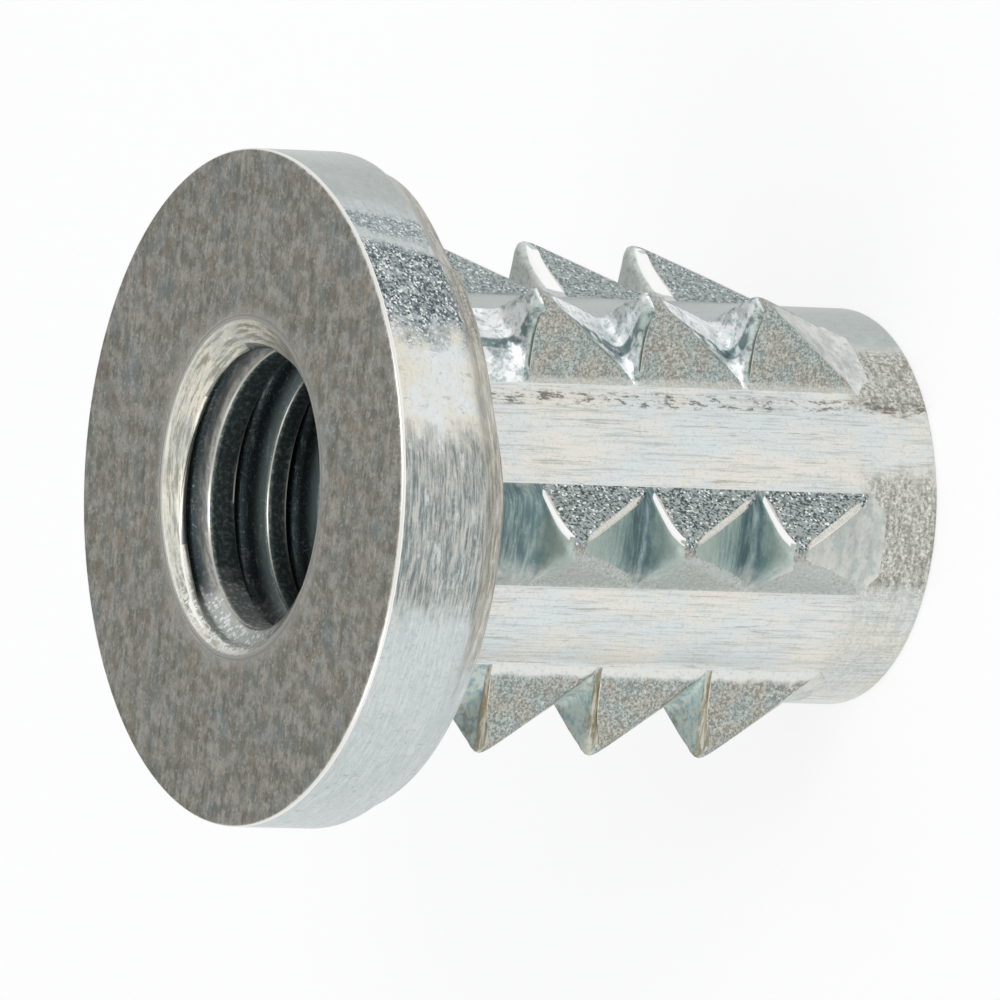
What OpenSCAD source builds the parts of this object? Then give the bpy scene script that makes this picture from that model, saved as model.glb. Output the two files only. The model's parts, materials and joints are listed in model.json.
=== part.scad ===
// Barbed press-in threaded insert with a round flange.
// One solid: a turned core with a flange on top, six ribs down its side,
// and three rings of saw teeth cut into the ribs so that each rib carries
// three barbs. The tail end stands on z = 0 and the flange face is on top.
// All sizes are in millimetres.

/* [Flange] */

// outside diameter of the flange
flange_d = 16; // [15:0.1:20]
// thickness of the flange
flange_t = 3; // [2.6:0.05:4]
// small bevel round the edge of the flange face
face_bevel = 0.08; // [0.04:0.02:0.3]
// how far the bevel at the back of the rim runs along the axis
back_bevel_run = 0.48; // [0.2:0.02:0.8]
// how far that bevel draws the rim in
back_bevel_in = 0.35; // [0.1:0.05:0.6]
// radius of the soft edge between that bevel and the underside
under_round = 0.3; // [0.1:0.05:0.5]
// turn of the shallow step in the rim, measured from the first rib, in degrees
step_turn = 57.5; // [40:0.5:70]
// how far round the rim the step fades out, in degrees
step_span = 34; // [20:1:45]
// depth of the step at the back of the rim
step_depth = 0.19; // [0.05:0.01:0.25]

/* [Core] */

// outside diameter of the core between the ribs
core_d = 9.5; // [9.2:0.1:10]
// distance from the flange face to the tail end
length = 16.3; // [15.8:0.1:24]
// bevel round the tail end
tail_bevel = 0.2; // [0.1:0.05:0.4]

/* [Bore] */

// diameter of the hole over the crests of the thread
bore_d = 6.6; // [6:0.1:7]
// diameter of the countersink at the flange face
sink_d = 8.15; // [7.6:0.05:9]
// bevel where the hole leaves the tail
exit_bevel = 0.3; // [0.1:0.05:0.5]

/* [Ribs] */

// number of ribs round the core
rib_count = 6; // [3:1:6]
// half the angle between the two flanks of a rib, in degrees
rib_half_angle = 30.5; // [28:0.5:36]
// radius of the rounded crest of a rib
rib_crest_r = 0.25; // [0.15:0.05:0.35]

/* [Barbs] */

// diameter over the barb tips
tip_d = 12.84; // [12:0.1:13.6]
// number of barbs down each rib
barb_count = 3; // [1:1:3]
// distance between one barb tip and the next
barb_pitch = 2.98; // [2.8:0.02:3.1]
// distance from the underside of the flange to the first tip
first_tip = 2.58; // [2.3:0.02:2.7]
// slope of the long back of a barb, measured from the axis, in degrees
back_angle = 31; // [30:1:36]
// radius of the rounded barb tip
tip_r = 0.25; // [0.15:0.05:0.35]

/* [Hidden] */

$fa = 4;
$fs = 0.2;
// radii that go with the diameters above
core_r = core_d / 2;
tip_out = tip_d / 2;
flange_r = flange_d / 2;
bore_r = bore_d / 2;
sink_r = sink_d / 2;
// depth of the countersink, whose wall slopes at 45 degrees
sink_depth = sink_r - bore_r;
// the underside of the flange
under_z = length - flange_t;
// radius and height where the bevel at the back of the rim starts and ends
back_r = flange_r - back_bevel_in;
bevel_z = under_z + under_round + back_bevel_run;
// steps taken round each small arc
arc_steps = 4;
// how far the foot of the teeth dips below the core surface
dip = 0.2;
// how far from the axis the ribs are rooted, well inside the core
rib_root = core_r - 1;
// room past a face so that cuts run clear of it
clear = 1;

// radius and height of the centre of the tip arc of one barb
function tip_cr() = tip_out - tip_r;
function tip_cz(i) = under_z - first_tip - i * barb_pitch;

// points of an arc in the turning outline, from angle a to angle b
function arc(cr, cz, r, a, b) =
    [for (k = [0 : arc_steps]) let (t = a + (b - a) * k / arc_steps) [cr + r * cos(t), cz + r * sin(t)]];

// height of the long back of barb i where it meets the radius r
function back_z(i, r) =
    let (touch_r = tip_cr() + tip_r * cos(back_angle), touch_z = tip_cz(i) - tip_r * sin(back_angle))
    touch_z - (touch_r - r) / tan(back_angle);

// outline of the flange and the core, turned about the axis
module core_outline() {
    polygon(concat(
        [
            [0, 0],
            [core_r - tail_bevel, 0],
            [core_r, tail_bevel],
            [core_r, under_z],
            [back_r - under_round, under_z]
        ],
        arc(back_r - under_round, under_z + under_round, under_round, -90 + 90 / arc_steps, 0),
        [
            [flange_r, bevel_z],
            [flange_r, length - face_bevel],
            [flange_r - face_bevel, length],
            [0, length]
        ]
    ));
}

// outline of one ring of teeth: a flat face towards the flange, a rounded
// tip and a long sloping back towards the tail
module barb_outline(i) {
    polygon(concat(
        [[core_r - dip, tip_cz(i) + tip_r]],
        arc(tip_cr(), tip_cz(i), tip_r, 90, -back_angle),
        [[core_r - dip, back_z(i, core_r - dip)]]
    ));
}

// cross-section of one rib, its crest on the +X side
module rib_section() {
    crest_c = tip_out - rib_crest_r;
    half = rib_half_angle;
    touch_x = crest_c + rib_crest_r * sin(half);
    touch_y = rib_crest_r * cos(half);
    root_y = touch_y + (touch_x - rib_root) * tan(half);
    translate([crest_c, 0]) circle(r = rib_crest_r);
    polygon([[rib_root, -root_y], [touch_x, -touch_y], [touch_x, touch_y], [rib_root, root_y]]);
}

// the ribs before the teeth are cut, run up into the flange
module ribs() {
    for (k = [0 : rib_count - 1])
        rotate([0, 0, k * 360 / rib_count])
            linear_extrude(height = bevel_z)
                rib_section();
}

// the barbs: what the ribs and the rings of teeth have in common
module barbs() {
    for (i = [0 : barb_count - 1])
        intersection() {
            rotate_extrude() barb_outline(i);
            ribs();
        }
}

// the threaded hole over its crests, with the countersink and the exit bevel
module bore() {
    translate([0, 0, -clear]) cylinder(r = bore_r, h = length + 2 * clear);
    translate([0, 0, length - sink_depth]) cylinder(r1 = bore_r, r2 = sink_r + clear, h = sink_depth + clear);
    translate([0, 0, -clear]) cylinder(r1 = bore_r + exit_bevel + clear, r2 = bore_r, h = exit_bevel + clear);
}

// sector of the space round the rim, as deep as the flange
module step_sector() {
    reach = flange_r + clear;
    translate([0, 0, under_z - clear])
        linear_extrude(height = flange_t + 2 * clear)
            polygon([
                [0, 0],
                reach * [cos(step_turn), sin(step_turn)],
                reach * [cos(step_turn + step_span / 2), sin(step_turn + step_span / 2)],
                reach * [cos(step_turn + step_span), sin(step_turn + step_span)]
            ]);
}

// what the step leaves inside it: the rim's own outline, opened towards the
// face by the depth of the step and set off its axis by off
module step_core() {
    off = step_depth / sin(step_span);
    away = step_turn + step_span + 90;
    translate(off * [cos(away), sin(away), 0])
        rotate_extrude()
            polygon([
                [0, under_z - 2 * clear],
                [back_r - under_round, under_z - 2 * clear],
                [back_r - under_round, under_z],
                [back_r, under_z + under_round],
                [flange_r, bevel_z],
                [flange_r + step_depth, length],
                [flange_r + step_depth, length + 2 * clear],
                [0, length + 2 * clear]
            ]);
}

// the sliver that is missing from the rim between the step and where it
// fades out
module rim_step() {
    difference() {
        step_sector();
        step_core();
    }
}

module insert() {
    color([0.72, 0.74, 0.74])
        difference() {
            union() {
                rotate_extrude() core_outline();
                barbs();
            }
            rim_step();
            bore();
        }
}

insert();
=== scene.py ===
# %% [markdown]
# # A barbed press-in threaded insert
#
# The part is one piece of zinc-plated steel: a round flange on a short core,
# a threaded hole through both, and six rows of saw teeth down the side that
# bite into wood. The construction model gives its true sizes. This lesson
# dresses it: it cuts the real thread, rounds the edges that are sharp in the
# construction model, and gives each surface the finish that its tool left,
# with some highlights, reflections and shade painted into the colours.

# %% Load the frame
import json
import math
from collections import namedtuple

import bmesh
import bpy
from mathutils import Matrix, Vector

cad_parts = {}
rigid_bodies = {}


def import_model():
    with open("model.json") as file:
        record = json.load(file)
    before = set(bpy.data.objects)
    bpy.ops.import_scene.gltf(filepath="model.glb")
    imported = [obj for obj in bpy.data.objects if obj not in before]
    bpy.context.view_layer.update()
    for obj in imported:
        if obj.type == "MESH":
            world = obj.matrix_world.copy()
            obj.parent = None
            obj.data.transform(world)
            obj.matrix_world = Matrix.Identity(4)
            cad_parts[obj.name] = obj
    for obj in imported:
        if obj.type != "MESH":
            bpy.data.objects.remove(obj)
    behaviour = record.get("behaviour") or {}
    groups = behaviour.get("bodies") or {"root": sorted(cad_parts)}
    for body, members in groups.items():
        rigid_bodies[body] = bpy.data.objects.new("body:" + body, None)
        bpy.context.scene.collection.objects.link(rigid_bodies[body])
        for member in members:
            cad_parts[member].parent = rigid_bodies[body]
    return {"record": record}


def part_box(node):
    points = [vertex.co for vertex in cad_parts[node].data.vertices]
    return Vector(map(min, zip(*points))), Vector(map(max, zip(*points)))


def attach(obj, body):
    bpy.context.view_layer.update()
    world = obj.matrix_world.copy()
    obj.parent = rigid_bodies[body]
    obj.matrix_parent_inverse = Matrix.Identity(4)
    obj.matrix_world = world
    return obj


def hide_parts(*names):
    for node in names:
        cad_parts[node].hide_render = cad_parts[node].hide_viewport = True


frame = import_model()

scene = bpy.context.scene
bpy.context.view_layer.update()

# %% [markdown]
# ## Sizes
#
# The shape is drawn in millimetres, because that is how such a part is
# measured, and scaled to metres at the very end. What the frame knows is read
# from it: the outside of the flange, the overall length, the hole over the
# thread crests, and the core below the flange. The other sizes are driving
# dimensions of the turned and cut details.

# %% Sizes in millimetres
MM = 0.001

mounts = {m["name"]: m["dims"] for m in frame["record"]["mounts"]}
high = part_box("insert")[1]

FLANGE_R = high.x / MM
LENGTH = high.z / MM
HOLE_R = mounts["thread"]["r_mm"]
CORE_R = mounts["barbed_core"]["r_mm"]
UNDER_Z = mounts["barbed_core"]["length_mm"]

# the rim: a bevel at its face, and at its back a rounding and a longer bevel
FACE_BEVEL = 0.08
BACK_R = FLANGE_R - 0.35
UNDER_ROUND = 0.3
BEVEL_Z = UNDER_Z + UNDER_ROUND + 0.48

# the hole: a countersink with a rounded lip, and the bevels at the tail
SINK_R = 4.04
LIP = 0.06
SINK_SLOPE = 1.45
EXIT_BEVEL = 0.3
TAIL_ROUND = 0.2

# the ribs, and the teeth that are cut in them
RIBS = 6
TEETH = 3
TIP_R = 6.42
CREST_ROUND = 0.25
RIB_HALF = math.radians(30.5)
BACK_SLOPE = math.radians(31)
TOOTH_PITCH = 2.98
TOP_TOOTH_Z = UNDER_Z - 2.33

print("flange", 2 * FLANGE_R, "core", 2 * CORE_R, "length", round(LENGTH, 3), "hole", 2 * HOLE_R)

# %% [markdown]
# ## Where each surface runs
#
# Before any mesh is made, the surfaces are written down as short formulas. A
# rib is a rounded ridge along the core, and `rib_radius` says how far it
# stands from the axis at a given turn. `tooth_face_z` is the height of a
# tooth's steep face, and `back_radius` the long slope behind it.
#
# The blend `soft_max` picks the larger of two radii and rounds the inside
# corner between them, which is what a worn forming tool leaves.

# %% The rib, the teeth and the soft corner
def soft_max(a, b, width):
    gap = max(width - abs(a - b), 0) / width
    return max(a, b) + gap * gap * width / 4


def from_rib(turn):
    """The turn measured from the nearest rib, which lie one sector apart from +X on."""
    sector = math.tau / RIBS
    return (turn + sector / 2) % sector - sector / 2


def rib_radius(turn):
    off = abs(from_rib(turn))
    centre = TIP_R - CREST_ROUND
    touch_x = centre + CREST_ROUND * math.sin(RIB_HALF)
    touch_y = CREST_ROUND * math.cos(RIB_HALF)
    if off < math.atan2(touch_y, touch_x):
        return centre * math.cos(off) + math.sqrt(CREST_ROUND ** 2 - (centre * math.sin(off)) ** 2)
    flank = touch_y + touch_x * math.tan(RIB_HALF)
    return flank / (math.sin(off) + math.cos(off) * math.tan(RIB_HALF))


def tooth_face_z(tooth):
    return TOP_TOOTH_Z - tooth * TOOTH_PITCH


def back_radius(tooth, z):
    """Radius of the long back of a tooth, a cone that touches its rounded tip."""
    touch_r = TIP_R - CREST_ROUND * (1 - math.cos(BACK_SLOPE))
    touch_z = tooth_face_z(tooth) - CREST_ROUND * (1 + math.sin(BACK_SLOPE))
    return touch_r - (touch_z - z) * math.tan(BACK_SLOPE)


def back_z(tooth, radius):
    """Height at which that cone has the given radius."""
    face_z = tooth_face_z(tooth)
    return face_z - (back_radius(tooth, face_z) - radius) / math.tan(BACK_SLOPE)


print("tooth faces at", [round(tooth_face_z(i), 2) for i in range(TEETH)])

# %% [markdown]
# ## The thread
#
# The hole holds a coarse right-hand thread. Its depth repeats once a pitch
# along the axis, and the pattern climbs by one pitch in one turn, which is
# all that a thread is. The countersink and the small bevel at the tail are
# cones, and wherever they are wider than the thread they cut it away, so the
# larger of the radii is the real surface. The tap was led in at the
# countersink, so near the mouth the crests are wider and the grooves shallower.

# %% Radius of the hole at any turn and height
PITCH = 25.4 / 18
ROOT_R = HOLE_R + 0.67
CREST_HALF = 0.25
ROOT_HALF = 0.09
THREAD_SOFT = 0.05

# where one crest passes, which fixes the turn at which the thread starts
CREST_Z = LENGTH - 1.36
CREST_TURN = math.radians(192)

# how much wider the crest is at the mouth, and the stretch below it that leads in
LEAD = 0.13
LEAD_DEPTH = 1.7
LEAD_RUN = 0.5

SINK_SOFT = 0.03


def from_crest(turn, z):
    """Distance along the axis to the middle of the nearest crest."""
    phase = (z - CREST_Z) / PITCH - (turn - CREST_TURN) / math.tau
    return abs((phase + 0.5) % 1 - 0.5) * PITCH


def crest_half(z):
    """Half the width of the crest, which is wider where the thread leads in."""
    return CREST_HALF + LEAD * min(max((z - LENGTH + LEAD_DEPTH) / LEAD_RUN, 0), 1)


def thread_radius(turn, z):
    slope = (ROOT_R - HOLE_R) / (PITCH / 2 - ROOT_HALF - CREST_HALF)
    root = ROOT_R - (crest_half(z) - CREST_HALF) * slope
    side = (from_crest(turn, z) - crest_half(z)) * slope
    return min(HOLE_R + soft_max(0, side, THREAD_SOFT), root)


def sink_radius(z):
    """The cone of the countersink, which meets the flange face inside the rounded lip."""
    return SINK_R - LIP - SINK_SLOPE * (LENGTH - z)


def hole_radius(turn, z):
    exit_radius = HOLE_R + EXIT_BEVEL - z
    return soft_max(thread_radius(turn, z), max(sink_radius(z), exit_radius), SINK_SOFT)


print("thread pitch", round(PITCH, 3), "turns", round(LENGTH / PITCH, 1))

# %% [markdown]
# ## The outline of one slice
#
# A lathe part is drawn as half an outline and turned. This one is turned too,
# but its outline changes with the turn, because the ribs stand only on six
# sides. So the outline is a function of the turn. It names the corners in
# order, from the tail over the teeth and the rim to the countersink, and the
# count of corners never changes. Where there is no rib, the corners of the
# teeth close up on the core.
#
# Each corner says how far back its rounding starts, in how many points it
# bends, which finish starts there, how strongly its edge is painted pale, partly
# as wear and partly as a painted highlight, and how many points follow on the
# straight stretch after it. Two corners that are close share the stretch
# between them in proportion, so the roundings never cross.
# The foot of a tooth is a wide scoop, and its edge is rounder at the tip than
# on the flanks, because the tip takes the knocks. No two rows were knocked
# alike: one side of the rib on +X is blunted, and one side of the rib a third
# of a turn further round has a broad edge.

# %% How the edges are worn
ARRIS = 0.15
TIP_ARRIS = 0.4
BACK_ARRIS = 0.36
BLUNT, BLUNT_WIDTH = 0.3, math.radians(4)
BROAD, BROAD_WIDTH = 0.35, math.radians(2)
BROAD_RIB = math.tau / 3


def share_of_side(turn, rib, width):
    """1 on the side of a rib that faces the next lower one, rising from 0 at the rib's crest."""
    past = (rib - turn) % math.tau
    return min(past / width, 1) if past < math.pi / RIBS else 0


def blunted(turn, height):
    return BLUNT * height * share_of_side(turn, 0, BLUNT_WIDTH)


def arris(turn, height):
    """Rounding of a tooth's edge; height is 0 on the core and 1 at the tip."""
    broad = BROAD * (1.15 - height) * share_of_side(turn, BROAD_RIB, BROAD_WIDTH)
    return ARRIS + TIP_ARRIS * height ** 4 + blunted(turn, height) + broad


def wear_and_edge_light_at(turn, height):
    """How strongly that edge is painted pale, partly as wear and partly as a highlight on the rounding: less
    at the tip, none where it is blunt, more on every other rib.
    """
    kept = 1 - share_of_side(turn, 0, BLUNT_WIDTH)
    return min(height * 5, 1) * kept * (1 - 0.7 * height ** 6) * (1.5 + 0.5 * math.cos(3 * turn))


print("rounding of an edge halfway up and at the tip:", arris(0, 0.5), arris(0, 1))

# %% The corners of the outline
Corner = namedtuple("Corner", "r z soft bends finish burnish rows")

RIB_SOFT = 0.16
LEAST_RIB = 0.1
FOOT, LEAST_FOOT = 0.42, 0.05
RIDGE_R = CORE_R + 0.35
SEAT_SOFT = 0.15
BACK_SOFT = 0.1
RIM_SOFT = 0.15
SINK_TOP_Z = LENGTH - 0.12


def corners(turn):
    top = soft_max(CORE_R, rib_radius(turn), RIB_SOFT)
    height = (top - CORE_R) / (TIP_R - CORE_R)
    back, flank, steep = ("back", "flank", "steep") if top > CORE_R + LEAST_RIB else ("core", "core", "core")
    # how pale the edge is painted: partly wear, partly a painted highlight on the rounding
    worn_and_lit = wear_and_edge_light_at(turn, height)
    foot = LEAST_FOOT + FOOT * min(height * 3, 1)
    yield Corner(hole_radius(turn, 0), 0, 0, 1, "tail", 0, 3)
    yield Corner(CORE_R, 0, TAIL_ROUND, 6, "core", 0, 7)
    foot_z = back_z(TEETH - 1, CORE_R)
    yield Corner(CORE_R, foot_z, foot, 5, back, 0, 4)
    for tooth in reversed(range(TEETH)):
        face_z = tooth_face_z(tooth)
        reach = back_radius(tooth - 1, face_z) if tooth else RIDGE_R
        slope_z = max(back_z(tooth, top), foot_z)
        yield Corner(top, slope_z, BACK_ARRIS + blunted(turn, height), 4, flank, worn_and_lit, 5)
        yield Corner(top, face_z, arris(turn, height), 5, steep, worn_and_lit, 4)
        yield Corner(min(top, reach), face_z, foot, 7, back, 0, 5)
        foot_z = face_z
    yield Corner(min(top, RIDGE_R), UNDER_Z, SEAT_SOFT, 4, "under", 0, 3)
    yield Corner(BACK_R, UNDER_Z, UNDER_ROUND, 6, "rim", 0, 1)
    yield Corner(BACK_R, UNDER_Z + UNDER_ROUND, BACK_SOFT, 3, "rim", 0, 2)
    yield Corner(FLANGE_R, BEVEL_Z, RIM_SOFT, 5, "rim", 0, 9)
    yield Corner(FLANGE_R, LENGTH, FACE_BEVEL, 4, "face", 2, 9)
    yield Corner(sink_radius(LENGTH), LENGTH, LIP, 5, "sink", 2, 0)
    yield Corner(hole_radius(turn, SINK_TOP_Z), SINK_TOP_Z, 0, 1, "sink", 0, 0)


print("corners in one slice:", len(list(corners(0))))

# %% [markdown]
# ## Filling in a slice
#
# Each corner is bent as a curve with three control points, and the straight
# stretches get points that crowd towards their ends, where the bends are.
#
# The rim carries a shallow step, where the blank was nipped: a sharp ledge
# along the axis that fades out round the rim, and beside it the back of the
# rim is squeezed in. The steep face of a tooth is slightly dished, because the
# cutter that raised it was round. All of these are small offsets of the points,
# added when the corners are filled in, so the count of points stays the same.

# %% The step, the nip and the dished faces
STEP_TURN = math.radians(57.5)
STEP_SPAN = math.radians(34)
STEP_RAMP = math.radians(0.8)
STEP_DEPTH = 0.12
NIP_START, NIP_FULL, NIP_END = math.radians(8), math.radians(30), math.radians(88)
NIP_DEPTH = 0.37
DISH = 0.07


def clamped(share):
    return min(max(share, 0), 1)


def below_face(z):
    """0 at the flange face, 1 from the bevel at the back of the rim on."""
    return min((LENGTH - z) / (LENGTH - BEVEL_Z), 1)


def step_cut(turn, z):
    past = (turn - STEP_TURN) % math.tau
    if past > STEP_SPAN:
        return 0
    share = math.sin(STEP_SPAN - past) / math.sin(STEP_SPAN) * min(past / STEP_RAMP, 1)
    return STEP_DEPTH * share * below_face(z)


def nip(turn, z):
    """How far the back of the rim is squeezed in beside the step."""
    share = clamped((turn - NIP_START) / (NIP_FULL - NIP_START))
    share *= clamped((NIP_END - turn) / (NIP_END - STEP_TURN))
    return NIP_DEPTH * share * share * (3 - 2 * share) * below_face(z)


print("the rim is drawn in by up to", round(max(nip(math.radians(a), UNDER_Z) for a in range(360)), 2))

# %% Fill in one slice
def setback(here, there):
    """The point on the way from one corner to the next where the rounding of the first ends."""
    start, end = Vector(here[:2]), Vector(there[:2])
    way = (end - start).length
    if not way or not here.soft:
        return start
    return start.lerp(end, min(here.soft, way * here.soft / (here.soft + there.soft)) / way)


def bent(before, here, after):
    """The points of the rounding of one corner, each with its finish and its share of edge wear and painted
    highlight.
    """
    start, bend, end = setback(here, before), Vector(here[:2]), setback(here, after)
    for k in range(here.bends):
        t = k / max(here.bends - 1, 1)
        point = start * (1 - t) ** 2 + bend * 2 * t * (1 - t) + end * t * t
        yield point, here.finish, here.burnish * (1 - t)


def stretched(here, after):
    """The points of the straight stretch after a corner, which sags a little on a steep face."""
    start, stop = setback(here, after), setback(after, here)
    dish = DISH * (start - stop).length / (TIP_R - CORE_R) if here.finish == "steep" else 0
    for k in range(here.rows):
        t = (1 - math.cos(math.pi * (k + 1) / (here.rows + 1))) / 2
        yield start.lerp(stop, t) - Vector((0, dish * math.sin(math.pi * t))), here.finish, 0


def slice_points(turn):
    marks = list(corners(turn))
    points = []
    for before, here, after in zip([marks[0]] + marks, marks, marks[1:] + [marks[-1]]):
        points += [*bent(before, here, after), *stretched(here, after)]
    for point, finish, _ in points:
        if finish in ("rim", "face"):
            point.x -= step_cut(turn, point.y) + nip(turn, point.y)
    return points


print("points in one slice:", len(slice_points(0)), len(slice_points(0.2)), len(slice_points(0.5)))

# %% [markdown]
# ## Turning the body
#
# `bmesh.ops.spin` turns the outline into a blank, as a lathe would, and an
# integer layer on the vertices remembers which point of the outline each one
# came from. Then every vertex is moved to the outline of its own turn, so the
# ribs rise and the teeth stand out. Cutting teeth with booleans would need the
# same formulas and would leave sharp, unworn edges.
#
# The slices are closer together across the ribs than between them, because
# that is where the shape changes. `even_to_rib` squeezes them together.

# %% Spin the blank and cut the teeth
SLICES = RIBS * 56
SQUEEZE = 0.5
FINISHES = ["face", "rim", "under", "core", "tail", "flank", "steep", "back", "sink", "thread"]


def even_to_rib(turn):
    sector = math.tau / RIBS
    share = from_rib(turn) / (sector / 2)
    return turn - from_rib(turn) + sector / 2 * (SQUEEZE * share + (1 - SQUEEZE) * share ** 3)


def at_turn(turn, radius, z):
    return Vector((radius * math.cos(turn), radius * math.sin(turn), z))


def spun(rows, climb):
    """A new bmesh with the rows turned once round the axis while they climb, and its two layers."""
    bm = bmesh.new()
    row_of = bm.verts.layers.int.new("row")
    # this layer holds each vertex's share of edge wear and painted edge highlight
    wear_and_edge_light_of = bm.verts.layers.float.new("burnish")
    verts = [bm.verts.new(p) for p in rows]
    for place, v in enumerate(verts):
        v[row_of] = place
    edges = [bm.edges.new(pair) for pair in zip(verts, verts[1:])]
    bmesh.ops.spin(
        bm, geom=verts + edges, cent=(0, 0, 0), axis=(0, 0, 1), dvec=(0, 0, climb / SLICES),
        angle=math.tau, steps=SLICES, use_merge=climb == 0)
    return bm, row_of, wear_and_edge_light_of


bm, row_of, wear_and_edge_light_of = spun([at_turn(0, *point) for point, _, _ in slice_points(0)], 0)
slices = {}
finish_at = {}
for v in bm.verts:
    step = round(math.atan2(v.co.y, v.co.x) % math.tau / math.tau * SLICES) % SLICES
    turn = even_to_rib(step / SLICES * math.tau)
    if step not in slices:
        slices[step] = slice_points(turn)
    point, finish_at[v], v[wear_and_edge_light_of] = slices[step][v[row_of]]
    v.co = at_turn(turn, *point)
for f in bm.faces:
    first = min(v[row_of] for v in f.verts)
    f.material_index = max(FINISHES.index(finish_at[v]) for v in f.verts if v[row_of] == first)
print("turned:", len(bm.verts), "vertices")

# %% [markdown]
# ## Cutting the thread
#
# The thread is spun as well, but with `dvec`, which lifts each step a little
# so that one turn climbs one pitch. The rows of points follow the thread's own
# profile, so its crests and roots stay crisp with few of them. The two ends are
# cut by holding the heights between the tail and the countersink: the rows that
# would stand outside all land on the end ring, and merging the doubles closes
# the body.

# %% Spin the thread and close the body
CREST_ROWS = [-CREST_HALF, -0.09, 0.09, CREST_HALF]
FLANK_ROWS = [0.29, 0.39, 0.5, 0.615]
ROWS_IN_PITCH = CREST_ROWS + FLANK_ROWS + [round(PITCH - z, 3) for z in reversed(FLANK_ROWS)]
EDGE_NEAR = 0.03
MERGE = 0.0001

first_turn = -math.ceil(CREST_Z / PITCH) - 2
thread_rows = [CREST_Z + turn * PITCH + z for turn in range(first_turn, 3) for z in ROWS_IN_PITCH]
thread, row_of, wear_and_edge_light_of = spun([(HOLE_R, 0, z) for z in thread_rows], PITCH)
for v in thread.verts:
    start_z = thread_rows[v[row_of]]
    turn = even_to_rib(round((v.co.z - start_z) / PITCH * SLICES) / SLICES * math.tau)
    z = start_z + (turn - CREST_TURN) / math.tau * PITCH
    z = min(max(z, 0), SINK_TOP_Z)
    v.co = at_turn(turn, hole_radius(turn, z), z)
    # the edges of the crests get the pale painted highlight
    v[wear_and_edge_light_of] = 1 if abs(from_crest(turn, z) - crest_half(z)) < EDGE_NEAR else 0
for f in thread.faces:
    centre = f.calc_center_median()
    in_sink = centre.xy.length < sink_radius(centre.z) + EDGE_NEAR
    f.material_index = FINISHES.index("sink" if in_sink else "thread")
thread_mesh = bpy.data.meshes.new("thread")
thread.to_mesh(thread_mesh)
thread.free()
bm.from_mesh(thread_mesh)
bpy.data.meshes.remove(thread_mesh)

bmesh.ops.remove_doubles(bm, verts=bm.verts, dist=MERGE)
bmesh.ops.recalc_face_normals(bm, faces=bm.faces)
open_edges = [e for e in bm.edges if len(e.link_faces) != 2]
print("closed:", not open_edges, "bad edges:", len(open_edges), "faces:", len(bm.faces))
print("triangles:", sum(len(f.verts) - 2 for f in bm.faces))
print("volume", round(bm.calc_volume(), 1), "cubic millimetres")

# %% [markdown]
# ## From the bench to the frame
#
# The mesh is finished in millimetres. One scale brings it to metres, which is
# what the frame is measured in, and the object itself stays at the origin.
# Faces are shaded smooth: every edge that looks sharp has its own rounding in
# the mesh, so nothing needs to be marked.

# %% The body as an object
bmesh.ops.scale(bm, vec=(MM, MM, MM), verts=bm.verts)
for f in bm.faces:
    f.smooth = True
body_mesh = bpy.data.meshes.new("insert_body")
bm.to_mesh(body_mesh)
bm.free()
body = bpy.data.objects.new("insert_body", body_mesh)
scene.collection.objects.link(body)
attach(body, "root")
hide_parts("insert")
print("body:", len(body_mesh.polygons), "faces in", body.name)

# %% [markdown]
# ## A small language for finishes
#
# A finish is a sum of patterns: grain, tool marks, stains. Written as nodes it
# is hard to read, so one class wraps a socket and lets Python add, multiply
# and compare it. Anything that isn't plain arithmetic comes from
# `Surface.node`, which takes the node's type, its settings and its inputs.

# %% Sockets that behave like numbers
class Signal:
    def __init__(self, surface, socket):
        self.surface, self.socket = surface, socket

    def also(self, output):
        """Another output of the same node."""
        return Signal(self.surface, self.socket.node.outputs[output])

    def math(self, operation, *others, clamp=False):
        inputs = dict(enumerate((self, *others)))
        return self.surface.node("ShaderNodeMath", {"operation": operation, "use_clamp": clamp}, inputs)

    def __add__(self, other):
        return self.math("ADD", other)

    def __mul__(self, other):
        return self.math("MULTIPLY", other)

    def __sub__(self, other):
        return self.math("SUBTRACT", other)

    def __rsub__(self, other):
        return self.surface.node("ShaderNodeMath", {"operation": "SUBTRACT"}, {0: other, 1: self})

    __radd__ = __add__
    __rmul__ = __mul__

    def band(self, start, end):
        """0 below start, 1 above end, and a smooth rise between; start may be the larger one."""
        settings = {"interpolation_type": "SMOOTHSTEP"}
        limits = {"Value": self, "From Min": start, "From Max": end}
        return self.surface.node("ShaderNodeMapRange", settings, limits)


class Surface:
    """One material, with its nodes."""

    def __init__(self, name):
        self.material = bpy.data.materials.new(name)
        self.material.use_nodes = True
        self.tree = self.material.node_tree
        self.shader = self.tree.nodes["Principled BSDF"]

    def link(self, value, socket):
        """Gives a socket a number or a colour, or what another socket brings."""
        if isinstance(value, Signal):
            self.tree.links.new(value.socket, socket)
        else:
            socket.default_value = value

    def node(self, kind, settings, inputs, output=0):
        made = self.tree.nodes.new(kind)
        for name, value in settings.items():
            setattr(made, name, value)
        for name, value in inputs.items():
            self.link(value, made.inputs[name])
        return Signal(self, made.outputs[output])

    def set(self, **inputs):
        for name, value in inputs.items():
            self.link(value, self.shader.inputs[name])


print("a signal can be added, subtracted, multiplied and cut into a band")

# %% [markdown]
# ## Coordinates and patterns
#
# Every pattern is drawn in the part's own millimetres, so a number in a finish
# is a size on the part. Three kinds do most of the work: `noise`, drawn out
# along the way a tool moved, `grit`, which gives each small crystal a random
# number, and `between`, which keeps a pattern to one part of the turn.
#
# `facets` draws the crystal grain. Each cell of a Voronoi pattern gets its own
# small plane, tilted at random, so that some glint and their neighbours go
# dark. A plain noise bump would only look wavy.

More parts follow.
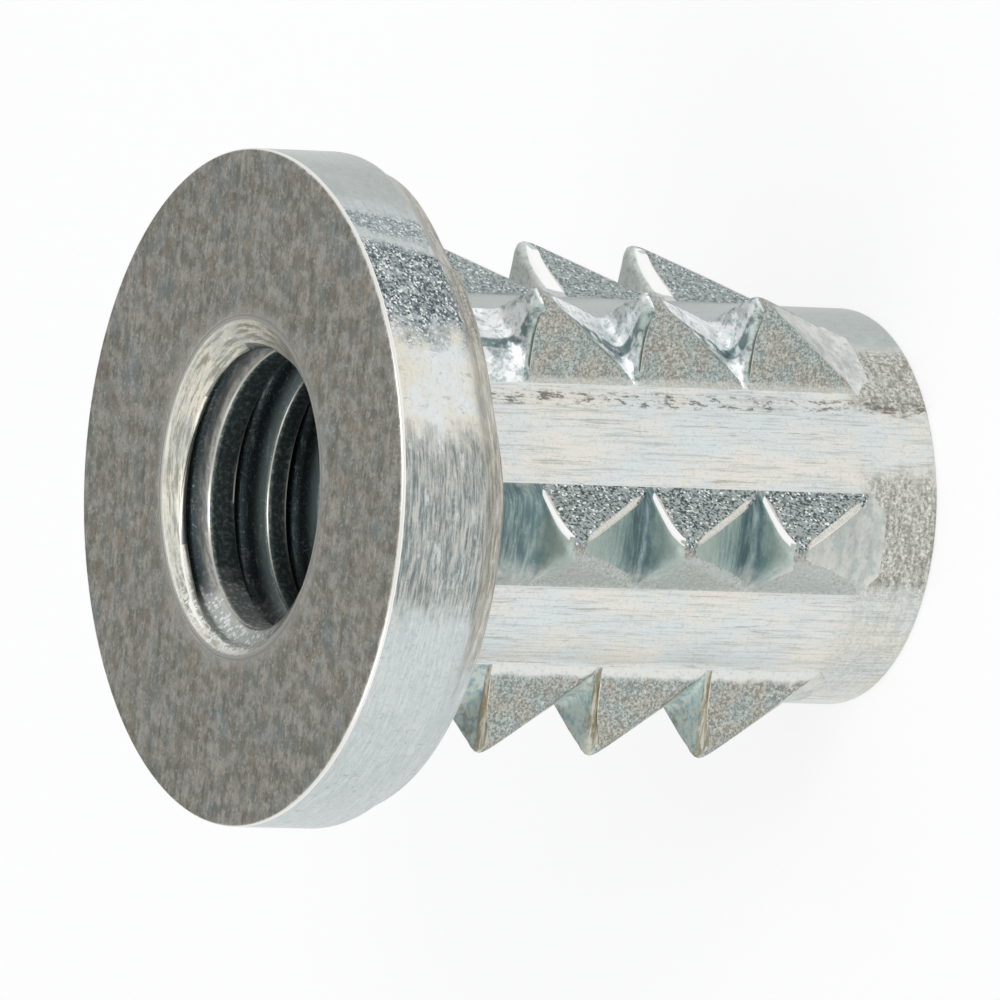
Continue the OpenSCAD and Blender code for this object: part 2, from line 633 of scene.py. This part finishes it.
# %% Patterns shared by the finishes
class Finish(Surface):
    """A material of the plated steel, with the coordinates that its patterns are drawn in."""

    def __init__(self, name):
        super().__init__(name)
        metres = self.node("ShaderNodeTexCoord", {}, {}, "Object")
        self.place = self.scaled(metres, (1 / MM,) * 3)
        x = self.node("ShaderNodeSeparateXYZ", {}, {0: self.place})
        self.z = x.also("Z")
        self.turn = x.also("Y").math("ARCTAN2", x)
        across = self.scaled(self.place, (1, 1, 0))
        self.radius = self.node("ShaderNodeVectorMath", {"operation": "LENGTH"}, {0: across}, "Value")
        # the edge wear and painted edge highlight that the mesh carries
        self.burnish = self.node("ShaderNodeAttribute", {"attribute_name": "burnish"}, {}, "Fac")

    def vectors(self, operation, first, second, output=0):
        return self.node("ShaderNodeVectorMath", {"operation": operation}, {0: first, 1: second}, output)

    def scaled(self, vector, factors):
        return self.vectors("MULTIPLY", vector, factors)

    def noise(self, per_mm, detail=2, roughness=0.5):
        """Noise from 0 to 1, with per_mm waves in a millimetre, one number for each axis or one for all."""
        factors = per_mm if isinstance(per_mm, tuple) else (per_mm,) * 3
        across = self.scaled(self.place, factors)
        inputs = {"Vector": across, "Scale": 1, "Detail": detail, "Roughness": roughness}
        return self.node("ShaderNodeTexNoise", {}, inputs)

    def grit(self, cell_mm):
        """A random number from 0 to 1 for each small crystal of the surface."""
        return self.node("ShaderNodeTexVoronoi", {}, {"Vector": self.place, "Scale": 1 / cell_mm}, "Color")

    def facets(self, cell_mm, tilt):
        """Height of a surface broken into small tilted planes of about cell_mm."""
        colour = self.grit(cell_mm)
        lean = self.vectors("SUBTRACT", colour, (0.5, 0.5, 0.5))
        away = self.vectors("SUBTRACT", self.place, colour.also("Position"))
        return self.vectors("DOT_PRODUCT", lean, away, "Value") * tilt

    def between(self, start, end, soft):
        """1 where the turn lies between two angles in degrees, with soft and ragged ends."""
        start, end, soft = (math.radians(angle) for angle in (start, end, soft))
        ragged = self.turn + (self.noise(2.2, detail=4) - 0.5) * (soft * 1.5)
        return ragged.band(start - soft / 2, start + soft / 2) * ragged.band(end + soft / 2, end - soft / 2)

    def mix(self, share, first, second):
        return self.node("ShaderNodeMix", {"data_type": "RGBA"}, {"Factor": share, 6: first, 7: second}, 2)

    def layers(self, colour, *coats):
        """A colour under coats, each with the share that it covers and its own colour."""
        for share, coat in coats:
            colour = self.mix(share, colour, coat)
        return colour


# the parts of the turn, in degrees, that hold the rows whose teeth look different
FIRST_ROW = (91, 150)
SECOND_ROW = (31, 88)
FOURTH_ROW = (-90, -31)


def rgb(red, green, blue):
    return (red, green, blue, 1)


print("the second row of teeth lies between", *SECOND_ROW, "degrees of turn")

# %% [markdown]
# ## What all the finishes share
#
# Clear zinc plating over steel is a pale silver with a hint of blue-green,
# painted deeper in the hollows as shade, and of cream on the edges, which is
# partly wear and partly a painted highlight. What changes from one surface to
# the next is what the tool left under it: turning lines on the flange and in
# the countersink, fine draw lines along the core, and a coarse crystal grain on
# the forged flanks of the teeth. Many patterns are limited to a part of the
# turn: some because the plating is not even round the part, others because
# they paint the reflection, glints or shade that one side of the part catches.
#
# Each finish below ends in `finished`, which adds the fine dust that lies on
# all of them and the pale edges, which are partly rubbed and partly a painted
# highlight along each rounded arris. The mesh itself says how much of this
# each vertex carries.

# %% Dust, and edges that are worn and painted with a highlight
WORN_ROUGHNESS = 0.3

finishes = {}


def finished(finish, colour, roughness, height, edge=rgb(0.95, 0.95, 0.94)):
    """Completes the material from a colour, a roughness and a height in millimetres.

    Worn edges take their own colour, which also paints their highlight, and are smoother and free of grain.
    """
    # pale edges: partly wear, partly a painted highlight along the rounded arrises
    worn_and_lit = finish.burnish.band(0.72, 0.95)
    dust = finish.noise(8, detail=5, roughness=0.8)
    dust_and_edge_light = finish.layers(
        colour,
        (dust.band(0.5, 0.3) * 0.35, rgb(0.3, 0.3, 0.27)),
        (dust.band(0.55, 0.72) * 0.3, rgb(0.95, 0.96, 0.95)),
        (worn_and_lit, edge))
    relief = {"Strength": 1, "Distance": MM, "Height": height * (1 - worn_and_lit)}
    finish.set(**{
        "Base Color": dust_and_edge_light,
        "Metallic": 1,
        "Roughness": roughness * (1 - worn_and_lit) + WORN_ROUGHNESS * worn_and_lit,
        "Normal": finish.node("ShaderNodeBump", {}, relief)})
    print("finish", finish.material.name, "has", len(finish.tree.nodes), "nodes")
    return finish.material


# %% [markdown]
# ## Flange face
#
# The face was turned flat, and then the part was tumbled with many others, so
# under its plating it is dull and mottled, with short drawn marks. Rings from
# a Wave texture would be the textbook way to show a turned face, but here the
# tumbling has nearly removed them. So the mottle is noise, the marks are noise
# drawn out along Y, and single crystals of grit carry painted glints. A pale
# ring lies round the countersink, where the edge was broken, and is partly a
# painted highlight on that edge.

# %% Flange face: dull and mottled
def turned_face():
    finish = Finish("turned_face")
    drawn = finish.noise((7, 0.8, 1), detail=5, roughness=0.7).band(0.36, 0.64)
    mottle = finish.noise(2.2, detail=6, roughness=0.75).band(0.4, 0.6)
    brown = finish.noise(1.4, detail=5, roughness=0.75).band(0.53, 0.63)
    blue = finish.noise((1.7, 1, 1), detail=5, roughness=0.75).band(0.53, 0.63)
    speck_and_glint = finish.grit(0.07)
    broken_edge_highlight = finish.radius.band(SINK_R + 0.45, SINK_R + 0.05)
    colour = finish.layers(
        rgb(0.33, 0.32, 0.27),
        (mottle * 0.65 + drawn * 0.35, rgb(0.77, 0.75, 0.68)),
        (brown * 0.5, rgb(0.55, 0.44, 0.32)),
        (blue * 0.55, rgb(0.35, 0.45, 0.46)),
        (speck_and_glint.band(0.3, 0.1) * 0.4, rgb(0.25, 0.24, 0.2)),
        # pale specks and lone white crystals: painted glints
        (speck_and_glint.band(0.75, 0.9) * 0.5, rgb(0.9, 0.9, 0.86)),
        (finish.grit(0.05).band(0.98, 0.99), rgb(1, 1, 0.97)),
        # pale ring round the countersink: the broken edge, partly a painted highlight
        (broken_edge_highlight * 0.4, rgb(0.85, 0.83, 0.75)))
    height = finish.noise((14, 1.2, 1), detail=3) * 0.006 + finish.noise(16, detail=2) * 0.006
    return finished(finish, colour, 0.5 - speck_and_glint * 0.1, height, rgb(0.8, 0.79, 0.76))


finishes["face"] = turned_face()

# %% [markdown]
# ## Rim
#
# The rim keeps its turning lines, which run round the flange. Noise that is
# fine along the axis and long across it draws them, and unlike a Wave texture
# it makes no two lines alike. Where the blank was nipped the metal broke up
# into coarse crystals, coloured with a painted reflection of dark surroundings
# and white painted glints on single crystals. Beside them the plating is cream
# and then stained dark. The bevel at the back is browner than the rest.

# %% Rim: turning lines, a patch of coarse grain with a painted reflection, and a stain
def rim():
    finish = Finish("rim")
    lines = finish.noise((1.3, 1.3, 14), detail=6, roughness=0.75).band(0.38, 0.62)
    cloud = finish.noise(0.8, detail=5, roughness=0.65).band(0.38, 0.62)
    fleck = finish.noise((5, 5, 3), detail=4, roughness=0.7)
    grit = finish.grit(0.052)
    streaks = finish.noise((1.2, 1.2, 4), detail=4, roughness=0.7).band(0.3, 0.45)
    cream = finish.mix(cloud, rgb(0.82, 0.77, 0.66), rgb(0.8, 0.84, 0.84))
    stain = finish.mix(lines, rgb(0.11, 0.15, 0.16), rgb(0.54, 0.54, 0.49))
    brown = finish.mix(lines, rgb(0.31, 0.29, 0.24), rgb(0.62, 0.59, 0.51))
    # a painted reflection on the coarse grain: dark ground, with white glints on single crystals
    grain_reflection = finish.layers(
        rgb(0.04, 0.07, 0.09),
        (grit.band(0.25, 0.68), rgb(0.42, 0.47, 0.47)),
        (grit.band(0.73, 0.8), rgb(1, 1, 0.98)),
        (fleck.band(0.5, 0.6) * 0.4, rgb(0.16, 0.2, 0.22)))
    patch = finish.between(20, 59, 2) * finish.between(40, 90, 9) + finish.between(61.5, 67.5, 3) * 0.7
    bevel = finish.z.band(BEVEL_Z + 0.02, BEVEL_Z - 0.3) * finish.between(-20, 180, 14)
    colour = finish.layers(
        rgb(0.54, 0.6, 0.6),
        (lines, rgb(0.65, 0.69, 0.68)),
        (finish.between(16, 40, 9) * 0.85, cream),
        (finish.between(-9, 21, 7) * streaks * 0.85, stain),
        (finish.between(70, 130, 6), rgb(0.47, 0.505, 0.49)),
        # the coarse grain, coloured with its painted reflection and glints
        (patch * fleck.band(0.3, 0.5), grain_reflection),
        (fleck.band(0.6, 0.68) * 0.4, rgb(0.3, 0.29, 0.25)),
        (bevel * 0.75, brown))
    height = lines * 0.004 + finish.facets(0.06, 0.5) * patch
    return finished(finish, colour, 0.42 - cloud * 0.1, height, rgb(0.93, 0.92, 0.89))


finishes["rim"] = rim()

# %% [markdown]
# ## Seat and tail end
#
# The underside of the flange and the square tail end were left as they were
# cut off. Nothing rubs on them, so they need no more than a faint cloud.

# %% Seat and tail end: plain
def as_cut(name):
    finish = Finish(name)
    cloud = finish.noise(3, detail=4).band(0.3, 0.7)
    colour = finish.mix(cloud, rgb(0.58, 0.6, 0.58), rgb(0.7, 0.7, 0.67))
    return finished(finish, colour, 0.45 - cloud * 0.1, finish.noise(8, detail=3) * 0.008)


finishes["under"] = as_cut("under")
finishes["tail"] = as_cut("tail")

# %% [markdown]
# ## Core
#
# The core is wire that was drawn through a die, so fine lines and dark hairs
# run along it. They are noise that is fine across the axis and long along it,
# because an image texture wrapped round the core would show a seam. The tail
# end is stained in rings, in three patches of different strength, and where
# the second row of teeth was raised a thin dark burr stands beside its foot.
# One side of the core, from the second row round past the first, is painted a darker grey as shade.

# %% Core: drawn smooth along the axis, stained at the tail
def core():
    finish = Finish("core")
    draw = finish.noise((13, 13, 0.6), detail=6, roughness=0.75)
    cloud = finish.noise((0.9, 0.9, 0.5), detail=4, roughness=0.65)
    hair = finish.noise((11, 11, 0.6), detail=5, roughness=0.7).band(0.59, 0.66)
    fleck = finish.noise(8, detail=4, roughness=0.75).band(0.58, 0.66)
    rings = finish.noise((1.5, 1.5, 6), detail=5, roughness=0.7).band(0.38, 0.6)
    grain = finish.noise(11, detail=4, roughness=0.75)
    stain = finish.layers(
        rgb(0.36, 0.35, 0.3),
        (rings, rgb(0.66, 0.66, 0.6)),
        (grain.band(0.52, 0.4) * 0.8, rgb(0.16, 0.17, 0.15)),
        (grain.band(0.56, 0.66) * 0.8, rgb(0.9, 0.88, 0.84)))
    end = finish.z.band(2.4, 1.6)
    patches = finish.between(39.5, 62, 4) + finish.between(-14, 21, 9) + finish.between(-60, -14, 12) * 0.3
    burr = finish.between(38.5, 43, 1.5) * finish.noise((8, 8, 3), detail=5, roughness=0.75).band(0.5, 0.6)
    colour = finish.layers(
        rgb(0.8, 0.78, 0.72),
        (cloud.band(0.4, 0.6), rgb(0.72, 0.77, 0.77)),
        (draw.band(0.52, 0.36) * 0.8, rgb(0.52, 0.56, 0.54)),
        (hair * 0.6, rgb(0.34, 0.33, 0.27)),
        (fleck * 0.45, rgb(0.42, 0.4, 0.33)),
        # painted shade: this side of the core is painted a darker grey
        (finish.between(62, 150, 20) * 0.85, rgb(0.45, 0.49, 0.48)),
        (end * patches * 0.9, stain),
        (burr * 0.9, rgb(0.17, 0.16, 0.13)))
    height = draw * 0.008 + finish.noise(5, detail=4) * 0.008
    return finished(finish, colour, 0.42, height, rgb(0.8, 0.8, 0.78))


finishes["core"] = core()

# %% [markdown]
# ## Flanks of the teeth
#
# The flanks were forged cold, which leaves a coarse grain, and the colours
# paint how it catches the light. On the upper flank of the third row, and
# more weakly on one flank of the first, they paint a dark reflection with
# white glints on single crystals; the lower flank of the third row is painted
# pale as a reflection of the floor; and the other flanks get only the tint,
# faint painted glints and the facets. At two places the grain ends in a smooth
# skirt, where the flank runs out on the core, and there the relief is taken
# away too, because a painted border over a rough surface would not hide it.

# %% Flanks: coarse forged grain, with painted reflections and glints
def flank():
    finish = Finish("flank")
    grit = finish.grit(0.055)
    fine = finish.noise(16, detail=3, roughness=0.75)
    cloud = finish.noise(1.5, detail=3).band(0.4, 0.6)
    tint = finish.mix(cloud, rgb(0.54, 0.53, 0.47), rgb(0.48, 0.54, 0.52))
    shaded = finish.mix(0.65, tint, rgb(0.1, 0.11, 0.09))
    # a painted reflection on the grain: dark ground, with white glints on single crystals
    grain_reflection = finish.layers(
        rgb(0.06, 0.09, 0.09),
        (grit.band(0.15, 0.6), rgb(0.42, 0.47, 0.46)),
        (grit.band(0.76, 0.86), rgb(0.97, 1, 0.98)))
    base = finish.radius.band(CORE_R + 0.25, CORE_R + 0.05)
    skirt = finish.between(-47.5, -38, 1.5) + finish.between(15.3, 22, 0.8)
    colour = finish.layers(
        shaded,
        (fine.band(0.4, 0.6), tint),
        # faint painted glints on all flanks
        (grit.band(0.75, 0.9) * 0.35, rgb(0.8, 0.82, 0.79)),
        # upper flank of the third row: the dark painted reflection with glints
        (finish.between(1, 30, 1), grain_reflection),
        # lower flank of the third row: painted pale as a reflection of the floor
        (finish.between(-30, -1, 2) * 0.75, rgb(0.56, 0.6, 0.57)),
        # one flank of the first row: the same painted reflection, weaker
        (finish.between(88, 120, 2), finish.mix(0.35, grain_reflection, rgb(0.36, 0.42, 0.42))),
        (finish.between(42, 47, 2) * base * 0.6, rgb(0.7, 0.7, 0.64)),
        (skirt, rgb(0.76, 0.77, 0.74)))
    height = (finish.facets(0.055, 0.4) + finish.noise(6, detail=2) * 0.02) * (1 - skirt)
    edge = finish.layers(
        rgb(0.76, 0.75, 0.69),
        (finish.between(*SECOND_ROW, 2), rgb(0.6, 0.6, 0.54)),
        (fine.band(0.6, 0.35) * 0.5, rgb(0.4, 0.38, 0.31)))
    return finished(finish, colour, 0.38, height, edge)


finishes["flank"] = flank()

# %% [markdown]
# ## Scoops
#
# The steep face and the back of a tooth are the two sides of the scoop that
# raised it. They are brushed by the punch and carry a blue-green tint, painted
# deeper towards the foot as shade and dark reflection in the hollow. The rows
# differ most here: the second is crumpled into facets and painted bright with
# highlights, with a painted shadow along a crease, the fourth patchy and rusty
# along its edges, the first grey, and the lowest tooth of every row pale, over
# the painted shade. One function serves both sides, because they are one
# surface on the real part.

# %% Scoops: brushed, with a blue-green tint and painted shade towards the foot
def scoop(name):
    finish = Finish(name)
    brush = finish.noise((1.2, 1.2, 9), detail=4, roughness=0.65)
    blotch = finish.noise(2, detail=3).band(0.4, 0.6)
    crumple = finish.grit(0.28)
    light = finish.noise(4, detail=4, roughness=0.7).band(0.36, 0.52)
    second_row = finish.between(*SECOND_ROW, 3)
    fourth_row = finish.between(*FOURTH_ROW, 2)
    near_edge = finish.burnish.band(0.03, 0.3)
    last_face_z = tooth_face_z(TEETH - 1)
    last = finish.z.band(last_face_z - 0.1, last_face_z - 0.4)
    deep = finish.radius.band(TIP_R - 0.2, CORE_R + 0.3)
    foot = finish.radius.band(CORE_R + 0.6, CORE_R + 0.25)

    # painted shade and dark reflection in the hollow, blue-green, deepening towards the foot
    hollow_shade = finish.mix(brush.band(0.35, 0.65), rgb(0.24, 0.37, 0.38), rgb(0.5, 0.59, 0.55))
    foot_shade = finish.mix(brush.band(0.4, 0.7), rgb(0.13, 0.2, 0.23), rgb(0.36, 0.45, 0.43))
    pale = finish.mix(blotch, rgb(0.6, 0.63, 0.6), rgb(0.74, 0.74, 0.7))
    cream = finish.mix(light, rgb(0.45, 0.43, 0.36), rgb(0.74, 0.71, 0.62))
    grey = finish.mix(light, rgb(0.56, 0.6, 0.57), rgb(0.68, 0.71, 0.69))
    # painted shadow along the crease under the crest of the second row, and a short one in the foot
    crease_shadow = finish.between(54, 57.5, 1) + finish.between(41, 45, 2) * foot
    # the second row is painted bright, with white painted highlights on its facets
    lit_second_row = finish.layers(
        rgb(0.57, 0.66, 0.67),
        (light, rgb(1, 1, 1)),
        (crumple.band(0.6, 0.3) * 0.25, rgb(0.33, 0.42, 0.42)),
        (crease_shadow * finish.noise(3, detail=4).band(0.38, 0.5) * 0.85, rgb(0.09, 0.17, 0.18)))
    patchy = finish.layers(
        rgb(0.4, 0.55, 0.59),
        (light, rgb(0.62, 0.68, 0.64)),
        (finish.noise(1.7, detail=5, roughness=0.7).band(0.52, 0.62) * 0.6, rgb(0.37, 0.33, 0.25)))
    shadow = finish.mix(light, rgb(0.2, 0.26, 0.24), rgb(0.5, 0.57, 0.54))
    rust = finish.mix(brush.band(0.45, 0.6), rgb(0.27, 0.22, 0.13), rgb(0.6, 0.58, 0.48))

    colour = finish.layers(
        rgb(0.5, 0.57, 0.53),
        # painted shade in the hollow, darkest at the foot
        (deep, hollow_shade),
        (foot * 0.8, foot_shade),
        (finish.between(-60, -8, 8) * 0.75, pale),
        (finish.between(15, 30, 3) * 0.7, cream),
        (second_row, lit_second_row),
        (finish.between(*FOURTH_ROW, 3), patchy),
        (finish.between(*FIRST_ROW, 3), grey),
        # the lowest tooth of each row is painted pale over the painted shade of the hollow
        (last * 0.85, pale),
        (near_edge * second_row * 0.8, shadow),
        (near_edge * fourth_row * 0.8, rust))
    edge = finish.layers(
        rgb(0.97, 0.97, 0.96),
        (second_row, rgb(0.12, 0.14, 0.11)),
        (fourth_row, finish.mix(brush.band(0.4, 0.6), rgb(0.16, 0.13, 0.08), rgb(0.4, 0.35, 0.25))))
    height = brush * 0.008 + finish.noise(3, detail=3) * 0.02 + finish.facets(0.28, 0.5) * second_row
    return finished(finish, colour, 0.72 - second_row * (0.25 - near_edge * 0.25), height, edge)


finishes["steep"] = scoop("steep")
finishes["back"] = scoop("back")

# %% [markdown]
# ## Countersink
#
# One plunge of a conical cutter made the countersink, and it left crisp rings.
# They are noise that is close along the axis and long round it, brown in the
# grooves and cream on the crests. The bright lip is a painted highlight, and
# on one side crystals carry painted glints where a lamp is reflected.

# %% Countersink: lathe rings
def sink():
    finish = Finish("sink")
    rings = finish.noise((1.1, 1.1, 18), detail=5, roughness=0.7)
    cloud = finish.noise(1.2, detail=4, roughness=0.65).band(0.4, 0.6)
    lamp_lit_side = finish.between(-130, -60, 25)
    lip_highlight = finish.radius.band(SINK_R - 0.2, SINK_R - 0.08)
    colour = finish.layers(
        rgb(0.36, 0.34, 0.28),
        (rings.band(0.42, 0.56), rgb(0.8, 0.76, 0.65)),
        (cloud * 0.4, rgb(0.4, 0.45, 0.43)),
        # painted glints where a lamp is reflected on one side
        (lamp_lit_side * finish.grit(0.07).band(0.45, 0.8), rgb(0.9, 0.93, 0.92)),
        # painted highlight along the lip
        (lip_highlight * 0.6, rgb(0.97, 0.95, 0.85)))
    return finished(finish, colour, 0.42, rings * 0.01, rgb(1, 0.99, 0.92))


finishes["sink"] = sink()

# %% [markdown]
# ## Thread
#
# The thread is painted dark in its roots as the shade deep in the grooves,
# and pale along the edges of its crests as a painted highlight. The hole is
# deep, so much of its shade also comes from the mesh and the light. The finish
# says how the heights of the profile differ, and tells the root, the side and
# the crest apart by their radius. Near the mouth the sides are painted paler
# as light reaching into the hole, and one side there carries a painted lamp
# reflection with glints.

# %% Thread: painted shade in the roots, painted highlight on the edges of the crests
def thread_cut():
    finish = Finish("thread_cut")
    marks = finish.noise((1.5, 1.5, 14), detail=4, roughness=0.7)
    grain = finish.noise(8, detail=3, roughness=0.7).band(0.35, 0.7)
    crest = finish.radius.band(HOLE_R + 0.06, HOLE_R + 0.02)
    side = finish.radius.band(HOLE_R + 0.4, HOLE_R + 0.15)
    lit_mouth = finish.z.band(LENGTH - 1.45, LENGTH - 1.15)
    lamp_lit_side = finish.between(-125, -65, 20) * finish.z.band(LENGTH - 2.6, LENGTH - 1)
    marked = finish.mix(marks.band(0.4, 0.6), rgb(0.2, 0.22, 0.22), rgb(0.4, 0.38, 0.34))
    colour = finish.layers(
        # painted shade: dark in the roots, lifted on the sides and the crests
        rgb(0.035, 0.05, 0.055),
        # the sides are painted paler near the mouth, where light reaches in
        (side, finish.mix(lit_mouth, rgb(0.15, 0.19, 0.19), marked)),
        (crest, finish.mix(grain, rgb(0.05, 0.075, 0.08), rgb(0.22, 0.27, 0.26))),
        (marks.band(0.56, 0.66) * 0.4, rgb(0.3, 0.34, 0.34)),
        # one side near the mouth: a painted lamp reflection with glints
        (lamp_lit_side * 0.85, rgb(0.6, 0.63, 0.6)),
        (lamp_lit_side * finish.grit(0.08).band(0.6, 0.8), rgb(0.9, 0.93, 0.93)))
    return finished(finish, colour, 0.5, marks * 0.006, rgb(0.5, 0.47, 0.4))


finishes["thread"] = thread_cut()

# %% Give the body its finishes
for name in FINISHES:
    body_mesh.materials.append(finishes[name])
print("finishes:", ", ".join(FINISHES))

# %% [markdown]
# ## Floor and card
#
# The insert stands on its tail on a white floor. Polished metal shows what is
# round it, so a dark card stands far behind the part: the flat flange face
# mirrors it and reads as the dark surface that it is. Darkening the face's own
# colour would make it dark from every side, which it is not.

# %% Floor and card
FLOOR_SIDE, FLOOR_LEVEL = 3, 0.95
CARD_SIDE, CARD_LEVEL = 0.8, 0.3
MATT = 0.9
CARD_WAY = Vector((-0.86, -0.17, 0.48))
CARD_DISTANCE = 0.75
GLOW_SHARE = 0.75

middle = Vector((0, 0, high.z / 2))


def plain(name, level):
    surface = Surface(name)
    surface.set(**{"Base Color": rgb(level, level, level), "Roughness": MATT, "Specular IOR Level": 0})
    return surface


def white_floor():
    """White to the camera and in reflections, but it still takes part of the shadow."""
    floor = plain("white_floor", FLOOR_LEVEL)
    camera_ray = floor.node("ShaderNodeLightPath", {}, {}, "Is Camera Ray")
    reflected = camera_ray.also("Is Glossy Ray") + camera_ray.also("Is Transmission Ray")
    share = camera_ray.math("ADD", reflected, clamp=True) * GLOW_SHARE
    lit = Signal(floor, floor.shader.outputs[0])
    glow = floor.node("ShaderNodeEmission", {}, {})
    blend = floor.node("ShaderNodeMixShader", {}, {"Fac": share, 1: lit, 2: glow})
    floor.link(blend, floor.tree.nodes["Material Output"].inputs["Surface"])
    return floor


def card(name, side, centre, facing, surface):
    bm = bmesh.new()
    bmesh.ops.create_grid(bm, x_segments=1, y_segments=1, size=side / 2)
    turn = Vector(facing).to_track_quat("Z", "Y").to_matrix().to_4x4()
    bmesh.ops.transform(bm, matrix=Matrix.Translation(centre) @ turn, verts=bm.verts)
    mesh = bpy.data.meshes.new(name)
    bm.to_mesh(mesh)
    bm.free()
    mesh.materials.append(surface.material)
    made = bpy.data.objects.new(name, mesh)
    scene.collection.objects.link(made)
    print(name, "is", side, "m wide")


card("floor", FLOOR_SIDE, (0, 0, 0), (0, 0, 1), white_floor())
dark = plain("dark_card", CARD_LEVEL)
card("dark_card", CARD_SIDE, middle + CARD_WAY * CARD_DISTANCE, -CARD_WAY, dark)

# %% [markdown]
# ## Light
#
# The room itself is pale and gives most of the light, which suits bare metal:
# with lamps alone it would be black between their reflections. Two soft boxes
# add direction, a stronger one high on one side and a weaker, lower one on the
# other.

# %% Light
def softbox(name, direction, distance, side, power):
    lamp = bpy.data.lights.new(name, "AREA")
    lamp.size = side
    lamp.energy = power
    made = bpy.data.objects.new(name, lamp)
    towards = Vector(direction).normalized()
    made.location = middle + towards * distance
    made.rotation_euler = towards.to_track_quat("Z", "Y").to_euler()
    scene.collection.objects.link(made)
    print(name, "light at", [round(c, 3) for c in made.location])


PALE_ROOM = rgb(0.93, 0.94, 0.95)

softbox("key", direction=(0.75, 0.55, 0.75), distance=0.35, side=0.16, power=0.3)
softbox("fill", direction=(0.7, -0.8, 0.45), distance=0.4, side=0.2, power=0.2)

world = bpy.data.worlds.new("pale_room")
scene.world = world
world.use_nodes = True
world.node_tree.nodes["Background"].inputs["Color"].default_value = PALE_ROOM
scene.view_settings.view_transform = "Standard"

# %% [markdown]
# ## Camera
#
# The camera looks down at the part from the side with a very long lens, and
# is rolled over, so the axis lies across the picture. It is placed by four
# values that mean something on the bench: what it is aimed at, how far away
# it stands, in which direction, and how far it is rolled.

# %% Camera
AIM = Vector((-0.455, -0.196, 9.032)) * MM
DISTANCE = 0.4279
AZIMUTH = math.radians(11.128)
ELEVATION = math.radians(28.78)
ROLL = math.radians(88.19)
SENSOR_WIDTH = 36
FOCAL_LENGTH = 648
NEAREST, FARTHEST = 0.01, 10

lens = bpy.data.cameras.new("camera")
lens.sensor_width = SENSOR_WIDTH
lens.lens = FOCAL_LENGTH
lens.clip_start = NEAREST
lens.clip_end = FARTHEST
camera = bpy.data.objects.new("camera", lens)
scene.collection.objects.link(camera)
scene.camera = camera
level_way = Vector((math.cos(AZIMUTH), math.sin(AZIMUTH), 0)) * math.cos(ELEVATION)
away = level_way + Vector((0, 0, math.sin(ELEVATION)))
upright = away.to_track_quat("Z", "Y").to_matrix()
rolled = upright @ Matrix.Rotation(-ROLL, 3, "Z")
camera.matrix_world = Matrix.Translation(AIM + away * DISTANCE) @ rolled.to_4x4()
print("camera right:", *(round(c, 3) for c in rolled.col[0]), "up:", *(round(c, 3) for c in rolled.col[1]))
